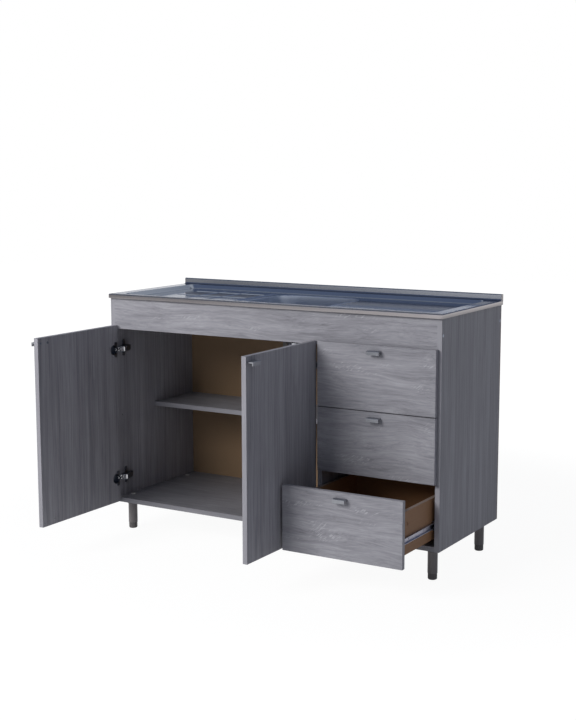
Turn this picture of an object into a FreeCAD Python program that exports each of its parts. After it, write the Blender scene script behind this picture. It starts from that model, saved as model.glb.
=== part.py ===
"""Kitchen sink unit: base cabinet, pressed steel top with drainer and bowl, two doors, three drawers.

Millimetres. X runs along the width from the middle of the unit, Y = 0 is the wall plane behind it and
the front faces -Y, Z = 0 is the floor. The pieces are written where the photograph shows them: both doors
open by 90 degrees and the bottom drawer pulled out.
"""
import FreeCAD, Part
import math
import os
from FreeCAD import Vector

# ---- driving dimensions -------------------------------------------------------------------------
TOP_W = 1200.0          # sink top, left to right
TOP_D = 450.0           # sink top, front to wall
RIM_Z = 795.0           # upper face of the rim
RIM_H = 12.0            # folded skirt of the rim
STEEL = 0.8             # sheet thickness
UPSTAND_H = 20.0        # upstand above the rim
UPSTAND_T = 12.0        # folded thickness of the upstand
COVE_R = 6.0            # cove at the foot of the upstand
RIM_R = 3.0             # roll of the rim's edges
RIM_CORNER_R = 8.0      # plan corners of the rim
LEDGE_SIDE = 42.0       # flat rim left and right of the field
LEDGE_FRONT = 28.0      # flat rim before the field
LEDGE_REAR = 20.0       # flat rim and upstand behind the field
FIELD_DROP = 13.0       # field below the rim
FIELD_RUN = 11.0        # run of the sloping wall
FIELD_R = 30.0          # plan corners of the field
BEAD_H = 1.6            # pressed beads of the drainer
BEAD_R = 4.0
BEAD_FRONT, BEAD_REAR = 70.0, 375.0
BEADS_DEPTHWISE = (-379.0, -291.0, -190.0, -175.0)
BEADS_WIDTHWISE = (100.0, 213.0, 326.0)
BEAD_LEFT, BEAD_RIGHT = -470.0, -200.0

BOWL_W = 300.0
BOWL_FRONT, BOWL_REAR = 72.0, 375.0
BOWL_R = 60.0
BOWL_DEPTH = 115.0
BOWL_DRAFT = 5.0
BOWL_FOOT_R = 25.0
BOWL_FLANGE = 10.0
DRAIN_R = 45.0

RIM_OVER = 5.0          # rim over the outer faces of the side panels
BODY_FRONT = 10.0       # front edges of the boards behind the rim's front
BOARD = 15.0
BACK_T = 3.0
WALL_GAP = 0.2          # behind the strip that joins the back boards
FLOOR_GAP = 97.0        # underside of the bottom panel
RAIL_H = 113.0          # front apron and rear rail
SHELF_SHORT = 210.0     # front edge of the shelf behind the front edges of the boards
SHELF_Z = 390.0
SHELF_GAP = 0.5
STRIP_X, STRIP_W, STRIP_T = -190.0, 16.0, 0.8

LEG_SIDE, LEG_FORE, LEG_AFT = 40.0, 45.0, 44.0      # from the outer faces of the carcass
LEG_R, LEG_WALL = 15.0, 1.5
FOOT_R, FOOT_H, FOOT_STEM = 14.0, 20.0, 25.0
PLATE, PLATE_T = 60.0, 3.0
CAM_IN, CAM_FORE, CAM_AFT, CAM_R = 15.0, 61.0, 60.0, 7.5
BRACKET_FORE, BRACKET_AFT = 90.0, 96.0
BRACKET_CLEAR = 6.0     # bracket before the field's wall

FRONT_GAP = 2.0         # between a front and the edges of the boards
FRONT_SPACE = 3.0       # between two fronts
FRONT_LOW = 102.0       # lower edge of the fronts
RAIL_LAP = 11.8         # upper edge of the fronts above the rail's lower edge
OVERLAY = 5.0           # a front over the board it hides

HANDLE_L, HANDLE_OUT, HANDLE_H = 40.0, 18.0, 12.0
HANDLE_FLANGE, HANDLE_LIP = 5.0, 4.0
HANDLE_DOWN = 15.0      # flange top below the front's upper edge
HANDLE_EDGE = 8.0       # from a door's free edge
SCREW_PITCH = 32.0
DOOR_HOLES, DOOR_HOLE_UP = (24.0, 56.0), 16.0       # spare bores low on the left door

BOX_SIDE, BOX_H, BOX_LIFT = 12.0, 125.0, 29.0
BOX_CLEAR = 38.0        # behind the drawer boxes
BOX_CAM_BACK, BOX_CAM_UP, BOX_CAM_R = 45.0, 88.0, 5.5
BOX_FLOOR_T, BOX_FLOOR_UP, BOX_GROOVE = 3.0, 10.0, 6.0
SLIDE_W, SLIDE_H, SLIDE_BACK = 10.0, 27.0, 2.0
SLIDE_SCREWS = (27.0, 56.0, 151.0)                  # behind the drawer front
RUNNER_H, SLIDE_UP, GAUGE = 17.0, 43.0, 1.2
BALL_R, CAGE_L = 1.6, 90.0
DRAWER_OUT = 203.0      # the bottom drawer in the photograph

# ---- concealed hinge: pivots seen from above, x into the opening and y into the cabinet, measured
# ---- from the inner front corner of the side panel, with the door open by 90 degrees ---------------
PIVOT_A = Vector(13.782, 0.400, 0)      # inner link on the arm
PIVOT_B = Vector(24.794, 16.119, 0)     # outer link on the arm
PIVOT_C = Vector(10.892, -13.613, 0)    # inner link in the cup
PIVOT_D = Vector(14.142, -13.042, 0)    # outer link in the cup
DOOR_TURN = Vector(2.994, -15.006, 0)   # the open door is the closed one turned 90 degrees about this
HINGE_END = 80.0        # hinge centre from the door's ends
CUP_R, CUP_DEPTH, CUP_X = 17.5, 13.0, 21.0
CUP_WALL = 0.5
PIN_A = PIN_B = 1.25
PIN_C, PIN_D = 0.9, 0.75
RUN = 0.05              # running fit of a pin
LOOSE = 0.95            # the outer link's eye on the arm is left this much wider
ARM_H = 17.0
ARM_T = 1.2

# ---- derived -----------------------------------------------------------------------------------
UNDER_RIM = RIM_Z - STEEL
FIELD_Z = RIM_Z - FIELD_DROP
BODY_W = TOP_W - 2 * RIM_OVER
BODY_REAR = TOP_D - BACK_T - STRIP_T - WALL_GAP
HALF = BODY_W / 2
INNER = HALF - BOARD
FRONT_W = (BODY_W - 2 * (BOARD - OVERLAY) - 2 * FRONT_SPACE) / 3     # doors and drawer fronts
DIVIDER_X = FRONT_W / 2 - OVERLAY                                    # left face of the divider
SHELF_FRONT = BODY_FRONT + SHELF_SHORT
LEG_X, LEG_FRONT, LEG_REAR = HALF - LEG_SIDE, BODY_FRONT + LEG_FORE, BODY_REAR - LEG_AFT
FRONT_IN = BODY_FRONT - FRONT_GAP
FRONT_OUT = FRONT_IN - BOARD
BOX_L = SLIDE_L = BODY_REAR - FRONT_IN - BOX_CLEAR
BOTTOM_TOP = FLOOR_GAP + BOARD
RAIL_LOW = UNDER_RIM - RAIL_H
DRAWER_H = (RAIL_LOW + RAIL_LAP - FRONT_LOW - 2 * FRONT_SPACE) / 3
DRAWER_Z = [FRONT_LOW + n * (DRAWER_H + FRONT_SPACE) for n in range(3)]
DOOR_H = 3 * DRAWER_H + 2 * FRONT_SPACE
DOOR_TOP = FRONT_LOW + DOOR_H
HINGE_Z = (FRONT_LOW + HINGE_END, DOOR_TOP - HINGE_END)
BAY_LEFT = DIVIDER_X + BOARD
BAY_MID = (BAY_LEFT + INNER) / 2
DRAWER_MID = HALF - BOARD + OVERLAY - FRONT_W / 2
BOWL_MID = (BOWL_FRONT + BOWL_REAR) / 2
BOWL_Z = FIELD_Z - BOWL_DEPTH


# ---- small tools -------------------------------------------------------------------------------
def block(x0, x1, y0, y1, z0, z1):
    """Box between two corners; y counts from the front of the sink top."""
    return Part.makeBox(x1 - x0, y1 - y0, z1 - z0, Vector(x0, y0 - TOP_D, z0))


def local_block(x0, x1, y0, y1, z0, z1):
    return Part.makeBox(x1 - x0, y1 - y0, z1 - z0, Vector(x0, y0, z0))


def rod(p, axis, r, length):
    return Part.makeCylinder(r, length, p, axis)


def upright(x, y, z0, z1, r):
    """Vertical rod; y counts from the front of the sink top."""
    return rod(Vector(x, y - TOP_D, z0), Vector(0, 0, 1), r, z1 - z0)


def fused(shapes):
    whole = shapes[0]
    if len(shapes) > 1:
        whole = shapes[0].multiFuse(shapes[1:])
    return whole.removeSplitter()


def rounded_wire(x0, x1, y0, y1, z, r):
    """Rectangle with round corners at height z; y counts from the front of the sink top."""
    y0, y1 = y0 - TOP_D, y1 - TOP_D
    k = r * (1 - math.sqrt(0.5))
    corners = [
        (Vector(x1 - r, y0, z), Vector(x1 - k, y0 + k, z), Vector(x1, y0 + r, z)),
        (Vector(x1, y1 - r, z), Vector(x1 - k, y1 - k, z), Vector(x1 - r, y1, z)),
        (Vector(x0 + r, y1, z), Vector(x0 + k, y1 - k, z), Vector(x0, y1 - r, z)),
        (Vector(x0, y0 + r, z), Vector(x0 + k, y0 + k, z), Vector(x0 + r, y0, z)),
    ]
    edges = []
    for n, (start, middle, end) in enumerate(corners):
        edges.append(Part.Arc(start, middle, end).toShape())
        edges.append(Part.makeLine(end, corners[(n + 1) % 4][0]))
    return Part.Wire(edges)


def rounded_block(x0, x1, y0, y1, z0, z1, r):
    face = Part.Face(rounded_wire(x0, x1, y0, y1, z0, r))
    return face.extrude(Vector(0, 0, z1 - z0))


def edges_at(shape, z):
    return [e for e in shape.Edges if all(abs(v.Point.z - z) < 1e-4 for v in e.Vertexes)
            and abs(e.CenterOfMass.z - z) < 1e-4]


def outline(points, z0, z1):
    """Upright plate from a closed outline."""
    ring = [Vector(p[0], p[1], z0) for p in points]
    return Part.Face(Part.makePolygon(ring + ring[:1])).extrude(Vector(0, 0, z1 - z0))


def turned(profile, x, y):
    """Solid of revolution about a vertical line from (radius, height) points."""
    ring = [Vector(r, 0, z) for r, z in profile]
    solid = Part.Face(Part.makePolygon(ring + ring[:1])).revolve(Vector(0, 0, 0), Vector(0, 0, 1), 360)
    solid.translate(Vector(x, y - TOP_D, 0))
    return solid


def shifted(shape, x=0.0, y=0.0, z=0.0):
    copy = shape.copy()
    copy.translate(Vector(x, y, z))
    return copy


def mirrored(shape, x):
    return shape.mirror(Vector(x, 0, 0), Vector(1, 0, 0))


def both(shape, x=0.0):
    return [shape, mirrored(shape, x)]


def save(node, shapes):
    body = shapes if isinstance(shapes, Part.Shape) else Part.makeCompound(shapes)
    body.exportStep("parts/" + node + ".step")


# ---- carcass -----------------------------------------------------------------------------------
PIN_R, PIN_OUT = 2.5, 9.0
PIN_YS = (SHELF_FRONT + 30.0, BODY_REAR - 29.0)
SCREW_Z = UNDER_RIM - 62.0
CONFIRMAT_YS = (BODY_FRONT + BOARD / 2, BODY_REAR - BOARD / 2)


def shelf_holes(x, deep):
    """Bores for the shelf pins, and the spare one near the front edge."""
    ys = PIN_YS + (BODY_FRONT + 30.0,)
    return [rod(Vector(x, y - TOP_D, SHELF_Z - PIN_R), Vector(1, 0, 0), PIN_R, deep) for y in ys]


def side_panel(side):
    x0, x1 = (-HALF, -INNER) if side < 0 else (INNER, HALF)
    panel = block(x0, x1, BODY_FRONT, BODY_REAR, FLOOR_GAP, UNDER_RIM)
    bores = []
    if side < 0:
        bores += shelf_holes(x1 - 10.0, 10.0)
    for y in CONFIRMAT_YS:
        bores.append(rod(Vector(x0, y - TOP_D, SCREW_Z), Vector(1, 0, 0), 2.5, BOARD))
    return panel.cut(Part.makeCompound(bores))


def rail(y0):
    return block(-INNER, INNER, y0, y0 + BOARD, RAIL_LOW, UNDER_RIM)


def divider():
    panel = block(DIVIDER_X, DIVIDER_X + BOARD, BODY_FRONT, BODY_REAR, BOTTOM_TOP, FIELD_Z - 2 * STEEL)
    notches = [rail(BODY_FRONT), rail(BODY_REAR - BOARD)] + shelf_holes(DIVIDER_X, 10.0)
    return panel.cut(Part.makeCompound(notches))


def confirmats():
    """Screws through the side panels into apron and rail, with flat heads."""
    screws = []
    for y in CONFIRMAT_YS:
        head = rod(Vector(-HALF - 0.8, y - TOP_D, SCREW_Z), Vector(1, 0, 0), 4.5, 0.8)
        shank = rod(Vector(-HALF, y - TOP_D, SCREW_Z), Vector(1, 0, 0), 2.5, BOARD)
        screws += both(head.fuse(shank))
    return screws


def cam_caps():
    caps = []
    for y in (BODY_FRONT + CAM_FORE, BODY_REAR - CAM_AFT):
        cap = upright(-INNER + CAM_IN, y, BOTTOM_TOP, BOTTOM_TOP + 1.2, CAM_R)
        caps += both(cap.makeFillet(0.5, edges_at(cap, BOTTOM_TOP + 1.2)))
    return caps


def carcass():
    save("side_panel_left", side_panel(-1))
    save("side_panel_right", side_panel(1))
    save("bottom_panel", block(-INNER, INNER, BODY_FRONT, BODY_REAR, FLOOR_GAP, BOTTOM_TOP))
    save("front_apron", rail(BODY_FRONT))
    save("rear_rail", rail(BODY_REAR - BOARD))
    save("divider_panel", divider())
    web = STRIP_T / 2
    back_top = RIM_Z - RIM_H
    back_y = BODY_REAR + BACK_T
    save("back_board_left", block(-HALF, STRIP_X - web, BODY_REAR, back_y, FLOOR_GAP, back_top))
    save("back_board_right", block(STRIP_X + web, HALF, BODY_REAR, back_y, FLOOR_GAP, back_top))
    strip = [block(STRIP_X - web, STRIP_X + web, BODY_REAR - STRIP_T, back_y + STRIP_T, BOTTOM_TOP, RAIL_LOW)]
    for y in (BODY_REAR - STRIP_T, back_y):
        strip.append(block(STRIP_X - STRIP_W / 2, STRIP_X + STRIP_W / 2, y, y + STRIP_T, BOTTOM_TOP, RAIL_LOW))
    save("back_joint_strip", fused(strip))
    shelf_rear = BODY_REAR - 2 * STRIP_T
    save("shelf", block(-INNER + SHELF_GAP, DIVIDER_X - SHELF_GAP, SHELF_FRONT, shelf_rear, SHELF_Z,
                        SHELF_Z + BOARD))
    pins = []
    for y in PIN_YS:
        for x in (-INNER - PIN_OUT, DIVIDER_X - PIN_OUT):
            pins.append(rod(Vector(x, y - TOP_D, SHELF_Z - PIN_R), Vector(1, 0, 0), PIN_R, 2 * PIN_OUT))
    save("shelf_pins", pins)
    save("carcass_screws", confirmats())
    save("cam_caps", cam_caps())


def legs():
    plates, tubes, feet = [], [], []
    plate_z = FLOOR_GAP - PLATE_T
    for y in (LEG_FRONT, LEG_REAR):
        plate = rounded_block(-LEG_X - PLATE / 2, -LEG_X + PLATE / 2, y - PLATE / 2, y + PLATE / 2,
                              plate_z, FLOOR_GAP, 8.0)
        for dx in (-22.0, 22.0):
            for dy in (-22.0, 22.0):
                plate = plate.cut(upright(-LEG_X + dx, y + dy, plate_z, FLOOR_GAP, 2.2))
        collar = turned([(LEG_R, plate_z), (LEG_R + 4, plate_z), (LEG_R + 2, plate_z - 8), (LEG_R, plate_z - 8)],
                        -LEG_X, y)
        plates += both(plate.fuse(collar))
        inner = LEG_R - LEG_WALL
        tubes += both(turned([(inner, FOOT_H), (LEG_R, FOOT_H), (LEG_R, plate_z), (inner, plate_z)], -LEG_X, y))
        foot = upright(-LEG_X, y, 0, FOOT_H, FOOT_R)
        foot = foot.makeFillet(4.0, edges_at(foot, 0.0))
        feet += both(foot.fuse(upright(-LEG_X, y, FOOT_H, FOOT_H + FOOT_STEM, inner)))
    save("leg_plates", plates)
    save("leg_tubes", tubes)
    save("leg_feet", feet)


# ---- sink top ----------------------------------------------------------------------------------
def rim_block(inset):
    """Rim as a solid, its faces moved inwards by inset; the inner one runs out below."""
    low = RIM_Z - RIM_H - (5.0 if inset else 0.0)
    top = RIM_Z - inset
    half = TOP_W / 2 - inset
    solid = rounded_block(-half, half, inset, TOP_D - inset, low, top, RIM_CORNER_R - inset)
    return solid.makeFillet(RIM_R - inset, edges_at(solid, top))


def arc_to(centre, r, a0, a1):
    """Points of an arc in the section plane, angles in degrees."""
    turns = [math.radians(a0 + (a1 - a0) * n / 6) for n in range(7)]
    return [(centre[0] + r * math.cos(a), centre[1] + r * math.sin(a)) for a in turns]


def upstand_block(inset):
    """Upstand with its cove, drawn in section and extruded along the wall."""
    low = RIM_Z - RIM_H - (5.0 if inset else 0.0)
    front = TOP_D - UPSTAND_T
    top = RIM_Z + UPSTAND_H
    foot = (front - COVE_R, RIM_Z + COVE_R)
    section = [(foot[0] - 6.0, low), (foot[0] - 6.0, RIM_Z - inset)]
    section += arc_to(foot, COVE_R + inset, -90, 0)
    section += arc_to((front + RIM_R, top - RIM_R), RIM_R - inset, 180, 90)
    section += arc_to((TOP_D - RIM_R, top - RIM_R), RIM_R - inset, 90, 0)
    section.append((TOP_D - inset, low))
    half = TOP_W / 2 - inset
    ring = [Vector(-half, y - TOP_D, z) for y, z in section]
    return Part.Face(Part.makePolygon(ring + ring[:1])).extrude(Vector(2 * half, 0, 0))


def field_block(outset):
    """Sunken field as a solid; outset gives the sheet's lower face."""
    wires = []
    slope = FIELD_RUN / FIELD_DROP
    for z in (FIELD_Z - outset, RIM_Z + (0.0 if outset else 1.0)):
        run = (RIM_Z - z) * slope - outset * math.hypot(1, slope) - (outset * slope if outset else 0)
        half = TOP_W / 2 - LEDGE_SIDE - run
        wires.append(rounded_wire(-half, half, LEDGE_FRONT + run, TOP_D - LEDGE_REAR - run, z, FIELD_R - run))
    return Part.makeLoft(wires, True, True)


def bowl_block(outset, top):
    """Bowl as a solid; outset gives the sheet's outer face."""
    upper = BOWL_W / 2 + outset
    solid = None
    wires = []
    for z, draft in ((BOWL_Z - outset, BOWL_DRAFT), (top, 0.0)):
        wires.append(rounded_wire(-upper + draft, upper - draft, BOWL_FRONT - outset + draft,
                                  BOWL_REAR + outset - draft, z, BOWL_R + outset - draft))
    solid = Part.makeLoft(wires, True, True)
    return solid.makeFillet(BOWL_FOOT_R + outset, edges_at(solid, BOWL_Z - outset))


def bead(p, q, r):
    """Round rod with ball ends."""
    return fused([rod(p, q - p, r, (q - p).Length), Part.makeSphere(r, p), Part.makeSphere(r, q)])


def bead_rods(r):
    z = FIELD_Z + BEAD_H - BEAD_R
    rods = []
    for x in BEADS_DEPTHWISE:
        rods.append(bead(Vector(x, BEAD_FRONT - TOP_D, z), Vector(x, BEAD_REAR - TOP_D, z), r))
    for y in BEADS_WIDTHWISE:
        rods.append(bead(Vector(BEAD_LEFT, y - TOP_D, z), Vector(BEAD_RIGHT, y - TOP_D, z), r))
    return fused(rods)


def sink_top():
    skin = rim_block(0.0).fuse(upstand_block(0.0))
    skin = skin.cut(rim_block(STEEL).fuse(upstand_block(STEEL)))
    skin = skin.fuse(field_block(STEEL)).cut(field_block(0.0))
    far = 5.0
    above = block(-TOP_W / 2 - far, 0, -far, TOP_D + far, FIELD_Z - STEEL / 2, RIM_Z)
    skin = skin.fuse(bead_rods(BEAD_R).common(above))
    skin = skin.cut(bead_rods(BEAD_R - STEEL))
    half = BOWL_W / 2
    skin = skin.cut(rounded_block(-half, half, BOWL_FRONT, BOWL_REAR, FIELD_Z - 3 * STEEL, FIELD_Z + far, BOWL_R))
    return skin.removeSplitter()


def sink_bowl():
    joint = FIELD_Z - STEEL
    edge = BOWL_W / 2 + BOWL_FLANGE
    flange = rounded_block(-edge, edge, BOWL_FRONT - BOWL_FLANGE, BOWL_REAR + BOWL_FLANGE, joint - STEEL, joint,
                           BOWL_R + BOWL_FLANGE)
    bowl = flange.fuse(bowl_block(STEEL, joint)).cut(bowl_block(0.0, joint + 1.0))
    return bowl.cut(upright(0, BOWL_MID, BOWL_Z - 2.0, BOWL_Z + 1.0, DRAIN_R))


# ---- waste -------------------------------------------------------------------------------------
CUP_OUT, CUP_IN, CUP_LOW = 42.0, 40.5, BOWL_Z - 35.0
OUTLET_R, TAIL_R, TAIL_LOW = 22.0, 20.0, BOWL_Z - 92.0
NUT_R = 55.0


def waste_body():
    flange = 57.0
    return turned([
        (CUP_IN, BOWL_Z + 0.4), (CUP_IN + 1.5, BOWL_Z + 1.6), (flange - 2, BOWL_Z + 1.6), (flange, BOWL_Z + 0.6),
        (flange, BOWL_Z), (CUP_OUT, BOWL_Z), (CUP_OUT, CUP_LOW + 3), (CUP_OUT - 3, CUP_LOW),
        (OUTLET_R, CUP_LOW), (OUTLET_R, CUP_LOW - 18), (OUTLET_R - 1.5, CUP_LOW - 18),
        (OUTLET_R - 1.5, CUP_LOW + 1.5), (CUP_IN - 3, CUP_LOW + 1.5), (CUP_IN, CUP_LOW + 4.5)], 0, BOWL_MID)


def waste_nut():
    low = BOWL_Z - STEEL - 3.0
    ring = turned([(CUP_OUT, low), (NUT_R, low), (NUT_R, low - 4), (CUP_OUT + 5, low - 12),
                   (CUP_OUT, low - 12)], 0, BOWL_MID)
    lug = block(CUP_OUT + 4, NUT_R + 2, BOWL_MID - 3, BOWL_MID + 3, low - 10, low - 1)
    lugs = []
    for n in range(12):
        turn = lug.copy()
        turn.rotate(Vector(0, BOWL_MID - TOP_D, 0), Vector(0, 0, 1), 30 * n)
        lugs.append(turn)
    return fused([ring] + lugs)


def tailpiece():
    z = CUP_LOW - 18.0
    nut = turned([(OUTLET_R, z + 10), (OUTLET_R + 5, z + 8), (OUTLET_R + 5, z - 8), (TAIL_R, z - 10),
                  (TAIL_R, z), (OUTLET_R, z)], 0, BOWL_MID)
    pipe = turned([(TAIL_R - 1.2, z), (TAIL_R, z), (TAIL_R, TAIL_LOW), (TAIL_R - 1.2, TAIL_LOW)], 0, BOWL_MID)
    return nut.fuse(pipe)


def strainer_basket():
    low, top, wall = CUP_LOW + 1.8, BOWL_Z - 2.0, 1.0
    basket = turned([
        (0.01, low), (33, low), (36, low + 3), (37, top - 2), (39.5, top), (39.5, top + 1), (37, top + 1),
        (36, top - 1), (35, low + 4), (32.5, low + wall), (7, low + wall), (4, low + 8), (4, top + 4),
        (8, top + 7), (8, top + 10), (0.01, top + 11)], 0, BOWL_MID)
    holes = []
    for ring, count in ((15.0, 8), (25.0, 12)):
        for n in range(count):
            turn = 2 * math.pi * n / count
            holes.append(upright(ring * math.cos(turn), BOWL_MID + ring * math.sin(turn), low - 1,
                                 low + 2 * wall, 2.4))
    return basket.cut(Part.makeCompound(holes))


def top_brackets():
    """Angles that screw the steel top to the side panels."""
    plates = []
    reach = INNER - (TOP_W / 2 - LEDGE_SIDE) - BRACKET_CLEAR
    for y in (BODY_FRONT + BRACKET_FORE, BODY_REAR - BRACKET_AFT):
        leg = block(-INNER, -INNER + 1.5, y - 12, y + 12, UNDER_RIM - 24, UNDER_RIM)
        arm = block(-INNER, -INNER + reach, y - 12, y + 12, UNDER_RIM - 1.5, UNDER_RIM)
        head = rod(Vector(-INNER + 1.5, y - TOP_D, UNDER_RIM - 14), Vector(1, 0, 0), 3.5, 1.5)
        plates += both(fused([leg, arm, head]))
    return plates


def sink():
    save("sink_top", sink_top())
    save("sink_bowl", sink_bowl())
    save("waste_body", waste_body())
    low = BOWL_Z - STEEL
    save("waste_gasket", turned([(CUP_OUT, low), (NUT_R, low), (NUT_R, low - 3), (CUP_OUT, low - 3)], 0, BOWL_MID))
    save("waste_nut", waste_nut())
    save("tailpiece", tailpiece())
    save("strainer_basket", strainer_basket())
    save("top_brackets", top_brackets())


# ---- handles -----------------------------------------------------------------------------------
def handle(x_mid, top):
    """Short angle bar on a front, its lip turned down, with the two screws behind."""
    x0, x1 = x_mid - HANDLE_L / 2, x_mid + HANDLE_L / 2
    z1 = top - HANDLE_DOWN
    tip = FRONT_OUT - HANDLE_OUT
    flange = block(x0, x1, tip, FRONT_OUT, z1 - HANDLE_FLANGE, z1)
    lip = block(x0, x1, tip, tip + HANDLE_LIP, z1 - HANDLE_H, z1)
    bar = flange.fuse(lip).removeSplitter()
    outer = [e for e in edges_at(bar, z1) if abs(e.CenterOfMass.y - (tip - TOP_D)) < 1e-3]
    bar = bar.makeFillet(1.5, outer)
    pieces = [bar]
    for dx in (-SCREW_PITCH / 2, SCREW_PITCH / 2):
        mid = Vector(x_mid + dx, FRONT_OUT - TOP_D, z1 - HANDLE_FLANGE / 2)
        pieces.append(rod(mid, Vector(0, 1, 0), 2.0, BOARD))
        pieces.append(rod(mid + Vector(0, BOARD, 0), Vector(0, 1, 0), 4.0, 1.6))
    return fused(pieces)


def screw_bores(x_mid, top):
    z = top - HANDLE_DOWN - HANDLE_FLANGE / 2
    return [rod(Vector(x_mid + dx, FRONT_OUT - TOP_D, z), Vector(0, 1, 0), 2.0, BOARD)
            for dx in (-SCREW_PITCH / 2, SCREW_PITCH / 2)]


# ---- concealed hinges --------------------------------------------------------------------------
def polar(centre, r, angle):
    return centre + Vector(r * math.cos(angle), r * math.sin(angle), 0)


def bar(p, q, half, z0, z1):
    """Flat bar with square ends from p to q."""
    side = (q - p).cross(Vector(0, 0, 1)).normalize() * half
    ring = [p + side, q + side, q - side, p - side]
    return outline([(v.x, v.y) for v in ring], z0, z1)


def hooked_link(door_pin, arm_pin, inner_r, outer_r, leave, eye_r, half, z0, z1):
    """Link that leaves its pin in the cup sideways and goes round the door's edge to the arm."""
    line = arm_pin - door_pin
    to_arm = math.atan2(line.y, line.x)
    arc = [to_arm - math.radians(leave) * (1 - n / 12) for n in range(13)]
    ring = [polar(door_pin, outer_r, a) for a in arc] + [polar(door_pin, inner_r, a) for a in reversed(arc)]
    band = outline([(v.x, v.y) for v in ring], z0, z1)
    middle = (inner_r + outer_r) / 2
    start = polar(door_pin, middle, arc[0] + half / middle)
    eye = rod(door_pin + Vector(0, 0, z0), Vector(0, 0, 1), eye_r, z1 - z0)
    spoke = bar(door_pin, start, half, z0, z1)
    shank = bar(polar(door_pin, inner_r, to_arm), arm_pin, half, z0, z1)
    return fused([band, eye, spoke, shank])


def pin_bore(p, r):
    return rod(p + Vector(0, 0, -ARM_H), Vector(0, 0, 1), r, 2 * ARM_H)


def layers(make, z0, z1):
    """The same plate above and below the hinge's middle."""
    return [make(z0, z1), make(-z1, -z0)]


def inner_link():
    """Two hooked side plates, one above and one below the outer link."""
    cheeks = layers(lambda a, b: hooked_link(PIVOT_C, PIVOT_A, 8.8, 10.5, 74, 1.7, 1.0, a, b), 3.1, 4.4)
    eyes = layers(lambda a, b: rod(PIVOT_A + Vector(0, 0, a), Vector(0, 0, 1), 2.2, b - a), 3.1, 6.2)
    bores = pin_bore(PIVOT_C, PIN_C + RUN).fuse(pin_bore(PIVOT_A, PIN_A + RUN))
    return Part.makeCompound([fused([cheek, eye]).cut(bores) for cheek, eye in zip(cheeks, eyes)])


def outer_link():
    """Flat link that passes between the inner link's plates, widened near its pin on the arm."""
    link = hooked_link(PIVOT_D, PIVOT_B, 6.8, 8.4, 66, 1.45, 0.8, -2.0, 2.0)
    line = (PIVOT_B - PIVOT_D).normalize()
    cover = bar(PIVOT_B - line * 14.5, PIVOT_B, 0.8, -6.8, 6.8)
    eye_r = PIN_B + LOOSE + 1.2
    eye = rod(PIVOT_B + Vector(0, 0, -6.8), Vector(0, 0, 1), eye_r, 13.6)
    return fused([link, cover, eye]).cut(pin_bore(PIVOT_D, PIN_D + RUN)).cut(pin_bore(PIVOT_B, PIN_B + LOOSE))


def hinge_arm():
    """Channel-shaped arm: the outer link's pin runs through, the inner link's is a stub in each cheek."""
    half = ARM_H / 2
    a, b = PIVOT_A, PIVOT_B
    shape = [(a.x - 2.4, a.y), (a.x - 2.4, 8), (6, 16), (4.5, 62), (15, 62), (b.x + 3.2, b.y + 4),
             (b.x + 3.2, b.y - 2), (a.x + 2.4, a.y - 1)]
    plates = []
    for make in (lambda z0, z1: outline(shape, z0, z1),
                 lambda z0, z1: rod(a + Vector(0, 0, z0), Vector(0, 0, 1), 2.1, z1 - z0)):
        plates += layers(make, half - ARM_T, half)
    back = bar(Vector(b.x + 2.2, b.y + 6, 0), Vector(14.4, 62, 0), ARM_T / 2, -half, half)
    foot = local_block(4.5, 14, 40, 62, -half, half)
    pins = layers(lambda z0, z1: rod(a + Vector(0, 0, z0), Vector(0, 0, 1), PIN_A, z1 - z0), 2.5, half + 0.4)
    pins.append(rod(b + Vector(0, 0, -half - 0.4), Vector(0, 0, 1), PIN_B, ARM_H + 0.8))
    screw = rod(Vector(13, 50, 0), Vector(1, 0, 0), 3.5, 4.5)
    return fused(plates + [back, foot, screw] + pins)


def hinge_plate():
    """Winged mounting plate on the board, with two screws 32 mm apart."""
    wing = local_block(0, 2.5, 36, 48, -27.5, 27.5)
    wing = wing.makeFillet(5.0, [e for e in wing.Edges if abs(e.Length - 2.5) < 1e-6])
    rail_ = local_block(0, 4.5, 30, 62, -7, 7)
    heads = [rod(Vector(2.5, 42, z), Vector(1, 0, 0), 4.0, 1.5) for z in (-18.0, 18.0)]
    return fused([wing, rail_] + heads)


def to_closed(p):
    """Where a pivot of the open door lies on the closed one."""
    d = p - DOOR_TURN
    return DOOR_TURN + Vector(-d.y, d.x, 0)


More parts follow.
